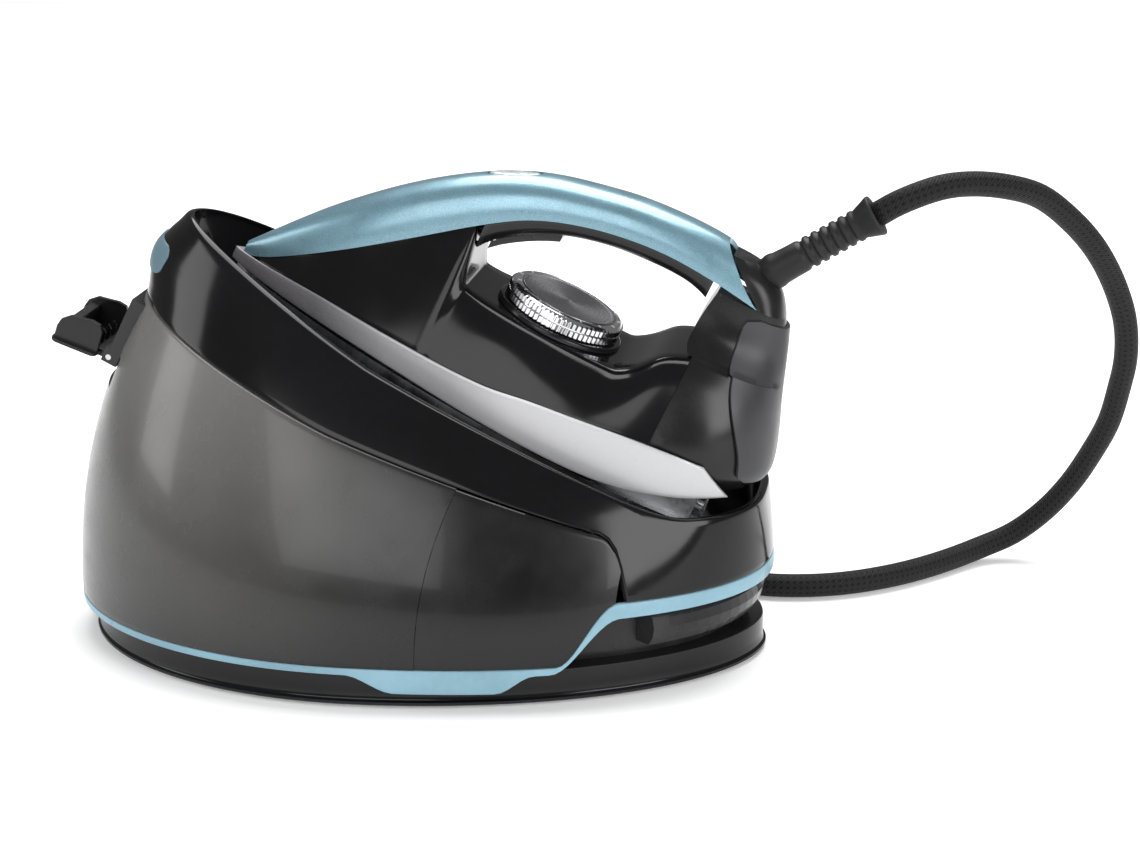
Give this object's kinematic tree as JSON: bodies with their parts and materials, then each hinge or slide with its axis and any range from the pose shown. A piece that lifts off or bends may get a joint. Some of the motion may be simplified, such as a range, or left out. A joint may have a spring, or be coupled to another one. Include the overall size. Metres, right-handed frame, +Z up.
{
  "type": "steam generator iron",
  "caption": "Steam generator iron: boiler base with a smoked water tank, a sloped rest with a collar, a lift-off iron with a dial and trigger, and a steam hose.",
  "frame": {"origin": "on the floor, under the middle of the object without its hose", "axes": "+X from the iron's nose to its heel, +Y to the far side, +Z up"},
  "size_m": [0.5467, 0.3982, 0.2445],
  "materials": {
    "gloss_black": "polished black plastic",
    "satin_black": "satin black plastic",
    "dark_grey": "dark grey plastic",
    "accent_blue": "light blue plastic",
    "handle_blue": "metallic light blue plastic",
    "latch_blue": "muted blue plastic",
    "smoked": "smoked clear plastic",
    "smoked_dark": "dark smoked plastic",
    "silver_band": "silver painted band",
    "sole_steel": "polished soleplate",
    "cast_alloy": "die cast alloy",
    "chrome_ring": "bright knurled ring",
    "brushed_disc": "spun brushed disc",
    "steel": "plain steel",
    "brass": "turned brass",
    "rubber": "black rubber",
    "silicone": "dark silicone",
    "lens": "frosted lens",
    "white_plastic": "white inner plastic",
    "board_green": "circuit board",
    "valve_blue": "valve coil",
    "hose_braid": "black braided sleeve"
  },
  "bodies": {
    "base": {"base_plate": "gloss_black", "bottom_cover": "satin_black", "rubber_feet": "rubber", "housing_screws": "steel", "boiler_housing": "satin_black", "cord_cleat": "satin_black", "accent_stripe": "accent_blue", "water_tank": "smoked", "side_skin_near": "smoked_dark", "side_skin_far": "smoked_dark", "stand": "gloss_black", "rest_pads": "silicone", "filler_neck": "satin_black", "flap_pin": "steel", "antiscale_cartridge": "white_plastic", "pickup_tube": "silicone", "pump": "satin_black", "pump_mounts": "rubber", "boiler": "steel", "boiler_heater": "cast_alloy", "boiler_insulation": "white_plastic", "safety_valve": "brass", "solenoid_valve": "valve_blue", "steam_outlet": "brass", "control_board": "board_green", "power_switch": "satin_black", "mains_gland": "rubber", "hose_gland": "rubber", "steam_hose": "hose_braid", "hose_coil": "hose_braid", "hose_tail": "hose_braid"},
    "iron": {"soleplate": "sole_steel", "steam_chamber": "cast_alloy", "sole_heater": "steel", "chamber_cover": "cast_alloy", "thermostat": "white_plastic", "steam_inlet": "brass", "front_body": "gloss_black", "rear_body": "satin_black", "rear_cover": "dark_grey", "side_band": "silver_band", "grip": "satin_black", "handle_cover": "handle_blue", "indicator_lens": "lens", "dial_pedestal": "gloss_black", "trigger_pin": "steel", "trigger_spring": "steel", "microswitch": "dark_grey", "terminal_block": "white_plastic", "body_screws": "steel", "strain_relief": "rubber"},
    "dial": {"dial_ring": "chrome_ring", "dial_disc": "brushed_disc", "dial_shaft": "steel"},
    "trigger": {"steam_trigger": "satin_black"},
    "latch": {"carry_latch": "latch_blue"},
    "flap": {"filler_flap": "satin_black"},
    "power_key": {"power_button": "accent_blue"}
  },
  "joints": [
    {"name": "iron_lift", "type": "slide", "parent": "base", "child": "iron", "axis": [0.4226, 0, 0.9063], "range_m": [0, 0.12], "deforming": ["steam_hose"]},
    {"name": "dial_turn", "type": "hinge", "parent": "iron", "child": "dial", "pos_m": [0.07419, 0, 0.17228], "axis": [0.4226, 0, 0.9063], "range_deg": [0, 270]},
    {"name": "trigger_press", "type": "hinge", "parent": "iron", "child": "trigger", "pos_m": [0.04095, 0, 0.20984], "axis": [0, -1, 0], "range_deg": [0, 5], "stiffness_Nm_per_rad": 0.4, "deforming": ["trigger_spring"]},
    {"name": "latch_slide", "type": "slide", "parent": "base", "child": "latch", "axis": [1, 0, 0], "range_m": [0, 0.006]},
    {"name": "flap_hinge", "type": "hinge", "parent": "base", "child": "flap", "pos_m": [-0.156, 0, 0.143], "axis": [0, 1, 0], "range_deg": [0, 97]},
    {"name": "power_press", "type": "slide", "parent": "base", "child": "power_key", "axis": [-0.721, -0.6492, -0.2425], "range_m": [0, 0.0015], "stiffness_N_per_m": 600}
  ]
}
